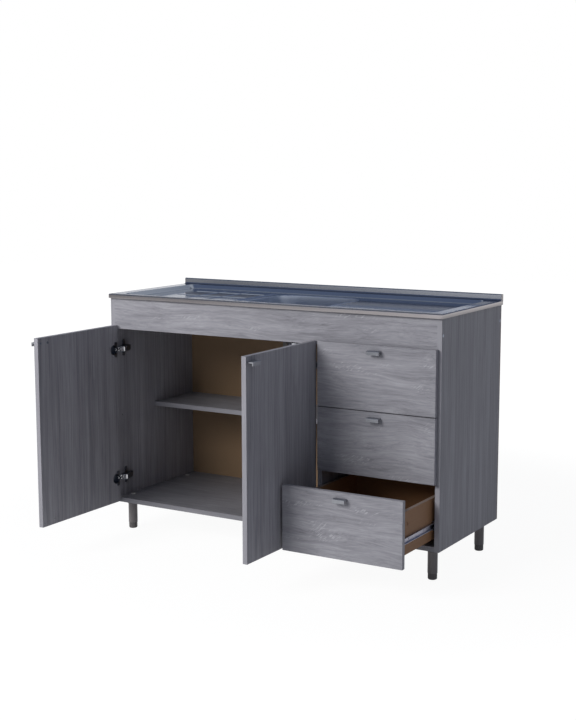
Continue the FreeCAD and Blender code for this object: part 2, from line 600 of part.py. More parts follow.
def hinge_cup():
    """Cup in the closed door, its axis along y, with the two pins between webs."""
    face = -FRONT_GAP
    mid = CUP_X - OVERLAY
    into = Vector(0, -1, 0)
    cup = rod(Vector(mid, face, 0), into, CUP_R, CUP_DEPTH)
    bowl = rod(Vector(mid, face + 2, 0), into, CUP_R - 1.8, CUP_DEPTH + 1.2)
    slot = rod(Vector(mid, face + 2, 0), into, CUP_R - CUP_WALL, CUP_DEPTH + 1.2)
    slot = slot.common(local_block(-OVERLAY, mid, face - CUP_DEPTH, face + 3, -4.7, 4.7))
    flange = local_block(mid - 15.5, mid - 1.5, face, face + 1.2, -25, 25)
    flange = flange.makeFillet(4.0, [e for e in flange.Edges if abs(e.Length - 1.2) < 1e-6])
    solid = fused([cup, flange]).cut(fused([bowl, slot]))
    c, d = to_closed(PIVOT_C), to_closed(PIVOT_D)
    reach = c.x + 2.6
    floor = face - CUP_DEPTH + 0.4
    webs = layers(lambda a, b: local_block(-0.9, reach, floor, face - 0.3, a, b), 2.2, 2.9)
    cheeks = layers(lambda a, b: local_block(-0.9, reach, floor, face - 0.3, a, b), 4.6, 6.0)
    round_cup = rod(Vector(mid, face, 0), into, CUP_R - 0.1, CUP_DEPTH)
    webs = [w.common(round_cup) for w in webs + cheeks]
    pins = layers(lambda a, b: rod(c + Vector(0, 0, a), Vector(0, 0, 1), PIN_C, b - a), 2.4, 5.6)
    pins.append(rod(d + Vector(0, 0, -2.6), Vector(0, 0, 1), PIN_D, 5.2))
    heads = [rod(Vector(mid - 6, face + 1.2, z), Vector(0, 1, 0), 3.5, 1.0) for z in (-21.0, 21.0)]
    return fused([solid] + webs + pins + heads)


def cup_bore():
    return rod(Vector(CUP_X - OVERLAY, -FRONT_GAP, 0), Vector(0, -1, 0), CUP_R, CUP_DEPTH)


def at_hinges(shape):
    return [shifted(shape, z=z) for z in HINGE_Z]


def to_side(shape, side):
    """From the hinge's own frame to the unit: the left side panel, or mirrored on the divider."""
    if side == "left":
        return shifted(shape, -INNER, BODY_FRONT - TOP_D)
    return shifted(mirrored(shape, 0), DIVIDER_X, BODY_FRONT - TOP_D)


def opened(shape):
    copy = shape.copy()
    copy.rotate(DOOR_TURN, Vector(0, 0, 1), -90)
    return copy


def hinged(shapes, side):
    return [to_side(shape, side) for shape in shapes]


# ---- doors -------------------------------------------------------------------------------------
def local_front(shape):
    """A piece written on the closed front, moved to the hinge's own frame."""
    return shifted(shape, 0, TOP_D - BODY_FRONT)


def door_panel(side):
    panel = block(-OVERLAY, FRONT_W - OVERLAY, FRONT_OUT, FRONT_IN, FRONT_LOW, DOOR_TOP)
    x = FRONT_W - OVERLAY - HANDLE_EDGE - HANDLE_L / 2
    bores = [local_front(b) for b in screw_bores(x, DOOR_TOP)] + at_hinges(cup_bore())
    if side == "left":
        for dx in DOOR_HOLES:
            mid = Vector(FRONT_W - OVERLAY - dx, -FRONT_GAP, FRONT_LOW + DOOR_HOLE_UP)
            bores.append(rod(mid, Vector(0, -1, 0), 1.5, 8.0))
    return opened(local_front(panel).cut(Part.makeCompound(bores)))


def doors():
    x = FRONT_W - OVERLAY - HANDLE_EDGE - HANDLE_L / 2
    plates, arms = [], []
    for side in ("left", "right"):
        save("door_panel_" + side, hinged([door_panel(side)], side))
        save("door_handle_" + side, hinged([opened(local_front(handle(x, DOOR_TOP)))], side))
        save("hinge_cups_" + side, hinged([opened(c) for c in at_hinges(hinge_cup())], side))
        save("inner_links_" + side, hinged(at_hinges(inner_link()), side))
        save("outer_links_" + side, hinged(at_hinges(outer_link()), side))
        plates += hinged(at_hinges(hinge_plate()), side)
        arms += hinged(at_hinges(hinge_arm()), side)
    save("hinge_plates", plates)
    save("hinge_arms", arms)


# ---- drawers -----------------------------------------------------------------------------------
def slide_z(low):
    return low + BOX_LIFT + SLIDE_UP


def fixed_member(z):
    """Channel screwed to the board, open towards the drawer."""
    x0, y0 = BAY_LEFT, BODY_FRONT + SLIDE_BACK
    h = SLIDE_H / 2
    web = block(x0, x0 + GAUGE, y0, y0 + SLIDE_L, z - h, z + h)
    walls = [block(x0, x0 + 8.6, y0, y0 + SLIDE_L, z + s * h - (GAUGE if s > 0 else 0),
                   z + s * h + (0 if s > 0 else GAUGE)) for s in (-1, 1)]
    return fused([web] + walls)


def moving_member(z):
    """Inner channel on the drawer, with its three screws."""
    x1, y0 = BAY_LEFT + SLIDE_W, BODY_FRONT + SLIDE_BACK
    h = RUNNER_H / 2
    web = block(x1 - GAUGE, x1, y0, y0 + SLIDE_L, z - h, z + h)
    walls = [block(x1 - 6.8, x1, y0, y0 + SLIDE_L, z + s * h - (GAUGE if s > 0 else 0),
                   z + s * h + (0 if s > 0 else GAUGE)) for s in (-1, 1)]
    heads = [rod(Vector(x1 - GAUGE, FRONT_IN + dy - TOP_D, z), Vector(-1, 0, 0), 3.2, 1.0) for dy in SLIDE_SCREWS]
    return fused([web] + walls + heads)


def ball_cage(z):
    """Strip with its balls, half way along the slide."""
    x0 = BAY_LEFT + GAUGE + 0.8
    mid = BODY_FRONT + SLIDE_BACK + SLIDE_L / 2
    up = (RUNNER_H / 2 + SLIDE_H / 2 - GAUGE) / 2
    pieces = [block(x0, x0 + 0.8, mid - CAGE_L / 2, mid + CAGE_L / 2, z - up - 0.6, z + up + 0.6)]
    for s in (-1, 1):
        pieces.append(block(x0, x0 + 4.4, mid - CAGE_L / 2, mid + CAGE_L / 2, z + s * up - 0.4, z + s * up + 0.4))
        for n in range(6):
            y = mid + (n - 2.5) * 15.0
            pieces.append(Part.makeSphere(BALL_R, Vector(x0 + 3.0, y - TOP_D, z + s * up)))
    return fused(pieces)


def drawer(name, low, out):
    """One drawer, pulled out by out."""
    z0 = low + BOX_LIFT
    left = BAY_LEFT + SLIDE_W
    right = INNER - SLIDE_W
    rear = FRONT_IN + BOX_L
    floor_z = z0 + BOX_FLOOR_UP

    def moved(shapes, travel):
        return [shifted(shape, 0, -travel) for shape in shapes]

    front = block(DRAWER_MID - FRONT_W / 2, DRAWER_MID + FRONT_W / 2, FRONT_OUT, FRONT_IN, low, low + DRAWER_H)
    front = front.cut(Part.makeCompound(screw_bores(DRAWER_MID, low + DRAWER_H)))
    side = block(left, left + BOX_SIDE, FRONT_IN, rear, z0, z0 + BOX_H)
    groove = block(left + BOX_SIDE - BOX_GROOVE, left + BOX_SIDE, FRONT_IN, rear, floor_z, floor_z + BOX_FLOOR_T)
    cam = rod(Vector(left, FRONT_IN + BOX_CAM_BACK - TOP_D, z0 + BOX_CAM_UP), Vector(1, 0, 0), BOX_CAM_R, 1.0)
    side = side.cut(groove).cut(cam)
    back = block(left + BOX_SIDE, right - BOX_SIDE, rear - BOX_SIDE, rear, floor_z + BOX_FLOOR_T, z0 + BOX_H)
    floor = block(left + BOX_SIDE - BOX_GROOVE, right - BOX_SIDE + BOX_GROOVE, FRONT_IN, rear, floor_z,
                  floor_z + BOX_FLOOR_T)
    save("drawer_front_" + name, moved([front], out))
    save("drawer_sides_" + name, moved(both(side, BAY_MID), out))
    save("drawer_back_" + name, moved([back], out))
    save("drawer_floor_" + name, moved([floor], out))
    save("drawer_handle_" + name, moved([handle(DRAWER_MID, low + DRAWER_H)], out))
    save("drawer_runners_" + name, moved(both(moving_member(slide_z(low)), BAY_MID), out))
    save("ball_cages_" + name, moved(both(ball_cage(slide_z(low)), BAY_MID), out / 2))


def drawers():
    for name, low, out in zip(("bottom", "middle", "top"), DRAWER_Z, (DRAWER_OUT, 0.0, 0.0)):
        drawer(name, low, out)
    fixed = []
    for low in DRAWER_Z:
        fixed += both(fixed_member(slide_z(low)), BAY_MID)
    save("slide_members", fixed)


os.makedirs("parts", exist_ok=True)
carcass()
legs()
sink()
doors()
drawers()
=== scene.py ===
"""Kitchen sink unit, dressed: grained board, pressed steel, bright hinges and satin handles.

Metres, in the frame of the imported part: X along the width, Y into the wall, Z up from the floor.
"""

import math

import bmesh
import bpy
import numpy as np
from mathutils import Matrix, Vector

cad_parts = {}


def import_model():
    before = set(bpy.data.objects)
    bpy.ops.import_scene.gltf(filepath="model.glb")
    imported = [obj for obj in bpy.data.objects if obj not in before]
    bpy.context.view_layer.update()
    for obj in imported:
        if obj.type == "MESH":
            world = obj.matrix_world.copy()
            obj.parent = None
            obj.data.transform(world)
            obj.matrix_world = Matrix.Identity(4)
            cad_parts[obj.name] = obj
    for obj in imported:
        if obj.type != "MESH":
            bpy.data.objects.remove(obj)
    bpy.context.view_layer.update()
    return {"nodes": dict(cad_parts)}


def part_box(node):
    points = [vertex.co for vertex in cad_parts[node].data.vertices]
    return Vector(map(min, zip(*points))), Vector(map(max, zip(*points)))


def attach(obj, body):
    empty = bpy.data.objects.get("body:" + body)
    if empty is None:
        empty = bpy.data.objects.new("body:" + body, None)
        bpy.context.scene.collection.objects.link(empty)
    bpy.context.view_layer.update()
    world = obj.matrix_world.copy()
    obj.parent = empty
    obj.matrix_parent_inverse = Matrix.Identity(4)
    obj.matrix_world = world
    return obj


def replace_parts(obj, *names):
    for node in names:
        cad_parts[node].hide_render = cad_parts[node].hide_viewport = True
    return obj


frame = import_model()

MM = 0.001
UP = (0.0, 0.0, 1.0)


# ---- shader maths ------------------------------------------------------------------------------
class Wire:
    """A socket's value that takes part in expressions; each operation adds a Math node."""

    def __init__(self, tree, socket):
        self.tree = tree
        self.socket = socket

    def math(self, operation, *values):
        inputs = {f"i{n}": value for n, value in enumerate(values)}
        node = add_node(self.tree, "ShaderNodeMath", {"operation": operation}, **inputs)
        return Wire(self.tree, node.outputs[0])

    def __add__(self, other):
        return self.math("ADD", self, other)

    def __radd__(self, other):
        return self.math("ADD", other, self)

    def __sub__(self, other):
        return self.math("SUBTRACT", self, other)

    def __rsub__(self, other):
        return self.math("SUBTRACT", other, self)

    def __mul__(self, other):
        return self.math("MULTIPLY", self, other)

    def __rmul__(self, other):
        return self.math("MULTIPLY", other, self)

    def __abs__(self):
        return self.math("ABSOLUTE", self)

    def __pow__(self, other):
        return self.math("POWER", self, other)

    def over(self, low, high):
        """0 below low, 1 above high, smooth between."""
        node = add_node(self.tree, "ShaderNodeMapRange", {"interpolation_type": "SMOOTHSTEP"},
                        Value=self, From_Min=low, From_Max=high)
        return Wire(self.tree, node.outputs["Result"])


def plug(tree, slot, value):
    """Links a Wire to a socket, or sets the socket to a constant."""
    if isinstance(value, Wire):
        tree.links.new(value.socket, slot)
    else:
        slot.default_value = value


def add_node(tree, kind, settings=None, **inputs):
    """Any node: its settings first, then its sockets' values or links, by name or as i0, i1 by number."""
    node = tree.nodes.new(kind)
    for key, value in (settings or {}).items():
        setattr(node, key, value)
    for key, value in inputs.items():
        by_number = key[0] == "i" and key[1:].isdigit()
        plug(tree, node.inputs[int(key[1:]) if by_number else key.replace("_", " ")], value)
    return node


class Finish:
    """A material with one Principled shader, built by expressions."""

    def __init__(self, name, **constants):
        self.material = bpy.data.materials.new(name)
        self.material.use_nodes = True
        self.tree = self.material.node_tree
        self.shader = self.tree.nodes["Principled BSDF"]
        for socket, value in constants.items():
            self.shader.inputs[socket.replace("_", " ")].default_value = value
        self.place = self.node("ShaderNodeTexCoord", out="Object")

    def node(self, kind, out=0, settings=None, **inputs):
        """One output of a new node."""
        return Wire(self.tree, add_node(self.tree, kind, settings, **inputs).outputs[out])

    def vector(self, operation, a, b):
        """A Vector Math node; SCALE takes a number as its second value."""
        second = {"Scale" if operation == "SCALE" else "i1": b}
        return self.node("ShaderNodeVectorMath", settings={"operation": operation}, i0=a, **second)

    def stretched(self, scale, turn=(0.0, 0.0, 0.0), at=None):
        """Coordinates with a scale of their own on each axis."""
        return self.node("ShaderNodeMapping", Vector=at or self.place, Scale=scale, Rotation=turn)

    def noise(self, scale, detail=3.0, rough=0.5, at=None):
        """Noise at one scale, or at a scale per axis."""
        per_axis = isinstance(scale, tuple)
        point = self.stretched(scale, at=at) if per_axis else (at or self.place)
        return self.node("ShaderNodeTexNoise", Vector=point, Scale=1.0 if per_axis else scale,
                         Detail=detail, Roughness=rough)

    def mix(self, factor, a, b):
        """Colour between a, at 0, and b, at 1."""
        a, b = ((*colour, 1.0) if isinstance(colour, tuple) else colour for colour in (a, b))
        return self.node("ShaderNodeMix", out=2, settings={"data_type": "RGBA"}, i0=factor, i6=a, i7=b)

    def axes(self, source=None):
        """X, Y and Z of a vector as three values."""
        split = add_node(self.tree, "ShaderNodeSeparateXYZ", Vector=source or self.place)
        return [Wire(self.tree, socket) for socket in split.outputs]

    def facing(self):
        """The surface's own normal in the object's frame."""
        return self.axes(self.node("ShaderNodeTexCoord", out="Normal"))

    def relief(self, height, depth, soften=None):
        """Bump of a height, in metres, over the plain or the softened normal."""
        extra = {"Normal": soften} if soften else {}
        return self.node("ShaderNodeBump", Height=height, Strength=1.0, Distance=depth, **extra)

    def soft_edges(self, radius):
        """Normal with the solid's sharp edges rounded."""
        return self.node("ShaderNodeBevel", settings={"samples": 4}, Radius=radius)

    def give(self, **sockets):
        """Sets or links sockets of the shader, and hands over the material."""
        for name, value in sockets.items():
            plug(self.tree, self.shader.inputs[name.replace("_", " ")], value)
        return self.material


# ---- finishes ----------------------------------------------------------------------------------
AXIS = {"X": 0, "Y": 1, "Z": 2}
FLECK_TURN = 0.62
SCRATCH_TURN = 0.6
LIGHT, DARK = (0.440, 0.438, 0.474), (0.176, 0.175, 0.196)
# Factor that darkens the board's colours for the bottom panel and shelf: a painted shade for the
# cupboard's dim inside.
INNER_PAINTED_SHADE = 0.78
UPRIGHT_GRAIN = (0.3, 0.95, 1.25, 0.8, 0.16)
FRONT_GRAIN = (0.6, 0.95, 0.95, 0.7, 0.22)


def shade(colour, factor):
    """A lighter or darker colour."""
    return tuple(min(1.0, c * factor) for c in colour)


def grain_scale(along, coarse, fine):
    """Noise scale of a grain: coarse along one axis, fine across it."""
    scale = [fine, fine, fine]
    scale[AXIS[along]] = coarse
    return tuple(scale)


def grained_board(name, thin, along, light, dark, weights, flow=0.05, flecks=0.0, run=1.0):
    """Printed wood grain: clouds, flames and fine lines that wander along the board, dark pores, and short
    pale flecks that lie aslant in clusters; the banded edges are plain and a little lighter.

    weights: how much cloud, flame, streak, fine line and pore show; run: how fast they change along it.
    """
    f = Finish(name, Specular_IOR_Level=0.2)
    drift = f.node("ShaderNodeTexNoise", out="Color", Vector=f.stretched(grain_scale(along, 2.6, 8.0)),
                   Scale=1.0, Detail=2.0)
    drift = f.vector("SCALE", f.vector("SUBTRACT", drift, (0.5, 0.5, 0.5)), flow)
    bent = f.vector("ADD", f.place, drift)
    cloud = f.noise(grain_scale(along, 2.4, 8.0), 3.0, 0.55)
    flame = f.noise(grain_scale(along, 3.4 * run, 44.0), 4.0, 0.6, at=bent)
    streak = f.noise(grain_scale(along, 9.0 * run, 180.0), 4.0, 0.6, at=bent)
    fine = f.noise(grain_scale(along, 20.0 * run, 640.0), 3.0, 0.6, at=bent)
    pores = f.noise(grain_scale(along, 34.0, 900.0), 2.0, 0.5, at=bent).over(0.6, 0.74)
    clouds, flames, streaks, lines, dots = weights
    tone = 0.5 + (cloud - 0.5) * clouds + (flame - 0.5) * flames + (streak - 0.5) * streaks
    tone = tone + (fine - 0.5) * lines - pores * dots
    if flecks:
        turn = [0.0, 0.0, 0.0]
        turn[AXIS[thin]] = FLECK_TURN
        aslant = f.stretched((1.0, 1.0, 1.0), turn=tuple(turn))
        tick = f.noise(grain_scale(along, 60.0, 330.0), 1.0, 0.5, at=aslant).over(0.56, 0.66)
        row = f.noise(grain_scale(along, 5.0, 26.0), 1.0, 0.5).over(0.58, 0.66)
        tone = tone + tick * row * flecks
    face = f.mix(tone, dark, light)
    across = abs(f.facing()[AXIS[thin]])
    plain = f.noise(grain_scale(along, 3.0, 60.0), 3.0)
    edge = f.mix(plain * 0.5 + fine * 0.3 + 0.1, shade(dark, 1.02), shade(light, 1.04))
    colour = f.mix(across.over(0.45, 0.6), edge, face)
    return f.give(Base_Color=colour, Roughness=0.42 + pores * 0.1 + (streak - 0.5) * 0.2,
                  Normal=f.relief(streak * 0.5 - pores * 0.5, 0.00008, f.soft_edges(0.5 * MM)))


def fibreboard():
    """Bare thin board: felted brown fibres with a faint cloud."""
    f = Finish("brown_fibreboard", Roughness=0.72, Specular_IOR_Level=0.25)
    cloud = f.noise(6.0, 4.0, 0.6)
    fibre = f.noise((900.0, 160.0, 420.0), 3.0, 0.6)
    speck = f.noise(700.0, 2.0)
    colour = f.mix(cloud * 0.5 + fibre * 0.5, (0.22, 0.145, 0.085), (0.32, 0.215, 0.13))
    colour = f.mix(speck.over(0.64, 0.72) * 0.5, colour, (0.12, 0.075, 0.045))
    return f.give(Base_Color=colour, Normal=f.relief(fibre, 0.00006, f.soft_edges(0.3 * MM)))


def drawer_board():
    """Brown coated board of the drawer boxes, greyer on the sawn edges."""
    f = Finish("drawer_board", Roughness=0.55, Specular_IOR_Level=0.3)
    cloud = f.noise((5.0, 5.0, 9.0), 4.0, 0.6)
    streak = f.noise((60.0, 6.0, 240.0), 4.0, 0.6)
    colour = f.mix(cloud * 0.4 + streak * 0.6, (0.24, 0.128, 0.064), (0.34, 0.186, 0.096))
    top = abs(f.facing()[2]).over(0.6, 0.8)
    colour = f.mix(top * 0.8, colour, (0.26, 0.22, 0.2))
    return f.give(Base_Color=colour, Normal=f.relief(streak, 0.00005, f.soft_edges(0.4 * MM)))


def pressed_steel(name, base, bright, along="X", rough=0.11):
    """Satin stainless steel: fine rolling lines, clouded polish and a few faint scratches; its tints are
    painted reflection.
    """
    f = Finish(name, Metallic=1.0)
    lines = f.noise(grain_scale(along, 9.0, 1100.0), 3.0, 0.6)
    cloud = f.noise(6.0, 3.0, 0.55)
    aslant = f.stretched((1.0, 1.0, 1.0), turn=(0.0, 0.0, SCRATCH_TURN))
    scratch = f.noise(grain_scale("X", 20.0, 1400.0), 2.0, 0.5, at=aslant).over(0.68, 0.76)
    colour = f.mix(cloud * 0.8 + lines * 0.2, base, bright)
    dull = rough + (cloud - 0.5) * 0.06 + (lines - 0.5) * 0.05 + scratch * 0.04
    return f.give(Base_Color=colour, Roughness=dull)


def plain_metal(name, base, rough, rubbed=0.0):
    """Plated metal: a mottled plate, duller in patches, with rounded edges; rubbed bare in places."""
    f = Finish(name, Metallic=1.0)
    mottle = f.noise(260.0, 4.0, 0.6)
    patch = f.noise(38.0, 3.0)
    colour = f.mix(mottle * 0.6 + patch * 0.4, shade(base, 0.8), shade(base, 1.15))
    if rubbed:
        colour = f.mix(mottle.over(0.6, 0.75) * rubbed, colour, (0.6, 0.6, 0.6))
    return f.give(Base_Color=colour, Roughness=rough - 0.06 + patch * 0.14,
                  Normal=f.relief(mottle, 0.00003, f.soft_edges(0.3 * MM)))


def brushed_handle():
    """Satin handle: fine lines along the bar."""
    f = Finish("satin_handle", Metallic=1.0)
    lines = f.noise((60.0, 60.0, 2400.0), 3.0, 0.6)
    cloud = f.noise(80.0, 2.0)
    colour = f.mix(lines * 0.6 + cloud * 0.4, (0.30, 0.31, 0.335), (0.44, 0.45, 0.48))
    return f.give(Base_Color=colour, Roughness=0.3 + lines * 0.12, Normal=f.relief(lines, 0.00003))


def moulded(name, base, rough=0.5, grit=0.00004):
    """Moulded plastic: spark-eroded grain and a faint flow cloud."""
    f = Finish(name, Specular_IOR_Level=0.45)
    grain = f.noise(1600.0, 3.0, 0.6)
    flow = f.noise(30.0, 3.0)
    colour = f.mix(flow * 0.7 + grain * 0.3, shade(base, 0.82), shade(base, 1.16))
    return f.give(Base_Color=colour, Roughness=rough - 0.05 + flow * 0.12,
                  Normal=f.relief(grain, grit, f.soft_edges(0.4 * MM)))


UPRIGHT_BOARD = grained_board("upright_board", "X", "Z", LIGHT, DARK, UPRIGHT_GRAIN, 0.016, run=0.32)
FRONT_BOARD = grained_board("front_board", "Y", "X", LIGHT, DARK, FRONT_GRAIN, 0.075, 0.5)
# Painted shade: the bottom panel and shelf are the same board as the sides, in a darker copy that stands
# in for the shade inside.
INNER_BOARD_PAINTED_SHADE = grained_board("lying_board_painted_shade", "Z", "X", shade(LIGHT, INNER_PAINTED_SHADE), shade(DARK, INNER_PAINTED_SHADE),
                            UPRIGHT_GRAIN)
# Painted reflection and shade: top, rim, upstand and bowl are one steel. The bluish top and bowl paint in
# the sky they reflect, and the warm darker rim and darker upstand paint in the dim room.
STEEL = pressed_steel("stainless_top", (0.44, 0.465, 0.51), (0.54, 0.565, 0.61))
RIM_STEEL = pressed_steel("stainless_rim", (0.36, 0.335, 0.34), (0.44, 0.415, 0.415), rough=0.2)
BACK_STEEL = pressed_steel("stainless_upstand", (0.31, 0.325, 0.36), (0.39, 0.40, 0.435), rough=0.2)
BOWL_STEEL = pressed_steel("stainless_bowl", (0.46, 0.51, 0.60), (0.56, 0.61, 0.70), along="Z", rough=0.32)
FIBRE = fibreboard()
BOX = drawer_board()
HANDLE = brushed_handle()
SLIDE = plain_metal("zinc_slide", (0.46, 0.46, 0.53), 0.36)
SCREW = plain_metal("zinc_screw", (0.40, 0.43, 0.52), 0.32)
# Painted shade: the hinge plates are the same bright plated steel as the links, given a dark colour in
# place of shade and dark reflection.
PLATE_PAINTED_SHADE = plain_metal("hinge_plate_painted_shade", (0.17, 0.185, 0.22), 0.38, rubbed=0.3)
BRIGHT_PLATE = plain_metal("bright_link", (0.82, 0.83, 0.85), 0.18)
STRAINER = plain_metal("polished_strainer", (0.62, 0.64, 0.68), 0.16)
LEG_TUBE = moulded("grey_leg_tube", (0.20, 0.185, 0.185), 0.38, 0.00002)
LEG_PLASTIC = moulded("grey_leg_plastic", (0.13, 0.12, 0.12))
WHITE = moulded("white_cap", (0.72, 0.71, 0.69), 0.4)
GREY = moulded("grey_strip", (0.2, 0.19, 0.18), 0.5)
BLACK = moulded("black_nut", (0.02, 0.02, 0.022), 0.42)
RUBBER = moulded("black_gasket", (0.03, 0.03, 0.03), 0.8, 0.0001)


# ---- surfaces ----------------------------------------------------------------------------------
def all_smooth(mesh):
    mesh.polygons.foreach_set("use_smooth", np.ones(len(mesh.polygons), bool))


def piece(name, points, faces, finish, body, slot):
    """Smooth mesh object at the origin from arrays of points and faces."""
    mesh = bpy.data.meshes.new(name)
    mesh.from_pydata(points.tolist(), [], faces.tolist() if hasattr(faces, "tolist") else faces)
    mesh.validate()
    mesh.update()
    all_smooth(mesh)
    obj = bpy.data.objects.new(name, mesh)
    bpy.context.scene.collection.objects.link(obj)
    mesh.materials.append(finish)
    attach(obj, body)
    return obj


def grid_faces(rows, columns, wrap_columns=False):
    """Quads of a grid of rows by columns points, row after row."""
    r = np.arange(rows - 1)
    c = np.arange(columns if wrap_columns else columns - 1)
    r, c = np.meshgrid(r, c, indexing="ij")
    next_row, next_column = (r + 1) * columns, (c + 1) % columns
    corners = [r * columns + c, r * columns + next_column, next_row + next_column, next_row + c]
    return np.stack(corners, -1).reshape(-1, 4)


def joined(parts):
    """One set of points and faces from several."""
    points, faces, start = [], [], 0
    for part_points, part_faces in parts:
        points.append(part_points)
        faces += [[int(corner) + start for corner in face] for face in part_faces]
        start += len(part_points)
    return np.concatenate(points), faces


def welded(obj, sharp=35.0):
    """Merges the doubles of a finished piece and keeps its hard edges hard."""
    work = bmesh.new()
    work.from_mesh(obj.data)
    bmesh.ops.remove_doubles(work, verts=work.verts, dist=1e-6)
    bmesh.ops.recalc_face_normals(work, faces=work.faces)
    work.to_mesh(obj.data)
    work.free()
    all_smooth(obj.data)
    obj.data.set_sharp_from_angle(angle=math.radians(sharp))
    return obj


def section_along(profile, stations, directions):
    """A closed profile of (out, up) pairs carried along stations, each with its own outward direction."""
    profile = np.asarray(profile, float)
    stations = np.asarray(stations, float)
    out = np.asarray(directions, float)
    grid = stations[:, None] + profile[None, :, :1] * out[:, None] + profile[None, :, 1:] * np.array(UP)
    rows, columns = len(stations), len(profile)
    faces = grid_faces(rows, columns, wrap_columns=True).tolist()
    faces.append(list(range(columns))[::-1])
    faces.append([(rows - 1) * columns + n for n in range(columns)])
    return grid.reshape(-1, 3), faces


def arc(centre, r, start, end, steps):
    """Points of an arc, angles in degrees."""
    turn = np.radians(np.linspace(start, end, steps))
    return np.stack([centre[0] + r * np.cos(turn), centre[1] + r * np.sin(turn)], -1)


# ---- sink top ----------------------------------------------------------------------------------
lo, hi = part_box("sink_top")
TOP_HALF = hi.x
FRONT_Y, WALL_Y = lo.y, hi.y
UPSTAND_TOP = hi.z
RIM_Z = UPSTAND_TOP - 20 * MM
SKIRT_Z = lo.z
SHEET = 0.8 * MM
FIELD_DROP, FIELD_RUN, FIELD_R = 13 * MM, 11 * MM, 30 * MM
LEDGE_SIDE, LEDGE_FRONT, LEDGE_REAR = 42 * MM, 28 * MM, 20 * MM
FIELD_Z = RIM_Z - FIELD_DROP
UPSTAND_T, COVE, ROLL = 12 * MM, 6 * MM, 3 * MM
RIM_CORNER_R = 8 * MM
HEM_W, HEM_STEP = 2.2 * MM, 0.4 * MM
HEM_PROUD, SEAM_LIFT = 0.2 * MM, 0.05 * MM
BEADS_DEPTHWISE = np.array((-379.0, -291.0, -190.0, -175.0)) * MM
BEADS_WIDTHWISE = np.array((100.0, 213.0, 326.0)) * MM + FRONT_Y
BEAD_SPAN_Y = (FRONT_Y + 70 * MM, FRONT_Y + 375 * MM)
BEAD_SPAN_X = (-470 * MM, -200 * MM)
BEAD_H, BEAD_W = 1.6 * MM, 4.2 * MM
BOWL_FRONT, BOWL_REAR = FRONT_Y + 72 * MM, FRONT_Y + 375 * MM
BOWL_MID = (BOWL_FRONT + BOWL_REAR) / 2
BOWL_HALF, BOWL_R = (150 * MM, (BOWL_REAR - BOWL_FRONT) / 2), 60 * MM
BOWL_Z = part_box("sink_bowl")[0].z + SHEET


def round_distance(x, y, centre, half, r):
    """Signed distance to a rectangle with round corners, negative inside."""
    dx = np.abs(x - centre[0]) - (half[0] - r)
    dy = np.abs(y - centre[1]) - (half[1] - r)
    outside = np.hypot(np.maximum(dx, 0), np.maximum(dy, 0))
    return outside + np.minimum(np.maximum(dx, dy), 0) - r


FIELD_MID = (0.0, (FRONT_Y + LEDGE_FRONT + WALL_Y - LEDGE_REAR) / 2)
FIELD_HALF = (TOP_HALF - LEDGE_SIDE, (WALL_Y - LEDGE_REAR - FRONT_Y - LEDGE_FRONT) / 2)


def smooth_step(t):
    """0 to 1 with a level start and end."""
    t = np.clip(t, 0, 1)
    return t * t * (3 - 2 * t)


def eased_ramp(t, ease):
    """0 to 1 as a straight ramp whose two ends are rounded by parabolas of half-length ease."""
    return eased_corner(t, ease) - eased_corner(t - 1, ease)


def eased_corner(t, ease):
    """max(t, 0) with the corner rounded: a parabola between -ease and ease."""
    return np.where(np.abs(t) < ease, (t + ease) ** 2 / (4 * ease), np.maximum(t, 0))


def bead_rise(offset, along, span):
    """Rounded ridge: a smooth hump across, run out at both ends."""
    ends = np.maximum(np.maximum(span[0] - along, along - span[1]), 0)
    reach = np.hypot(offset, ends)
    return BEAD_H * smooth_step(1 - reach / BEAD_W)


def field_height(x, y):
    """Height of the pressed sheet: a smooth drop inside the rounded border, with the drainer's ridges."""
    inside = -round_distance(x, y, FIELD_MID, FIELD_HALF, FIELD_R)
    z = RIM_Z - FIELD_DROP * eased_ramp(inside / FIELD_RUN, 0.14)
    rise = np.zeros_like(z)
    for at in BEADS_DEPTHWISE:
        rise = np.maximum(rise, bead_rise(x - at, y, BEAD_SPAN_Y))
    for at in BEADS_WIDTHWISE:
        rise = np.maximum(rise, bead_rise(y - at, x, BEAD_SPAN_X))
    return z + rise


def lines_between(low, high, step, fine):
    """Grid lines: evenly spaced, with closer ones round each fine place (middle, reach, count)."""
    lines = [np.arange(low, high, step), [high]]
    for middle, reach, count in fine:
        lines.append(np.linspace(middle - reach, middle + reach, count))
    lines = np.unique(np.round(np.concatenate(lines), 5))
    lines = lines[(lines >= low) & (lines <= high)]
    keep = np.append(True, np.diff(lines) > 0.35 * MM)
    return lines[keep]


def sheet_normals(x, y):
    """Slope of the height field by central differences."""
    step = 0.2 * MM
    gx = (field_height(x + step, y) - field_height(x - step, y)) / (2 * step)
    gy = (field_height(x, y + step) - field_height(x, y - step)) / (2 * step)
    normal = np.stack([-gx, -gy, np.ones_like(gx)], -1)
    return normal / np.linalg.norm(normal, axis=-1, keepdims=True)


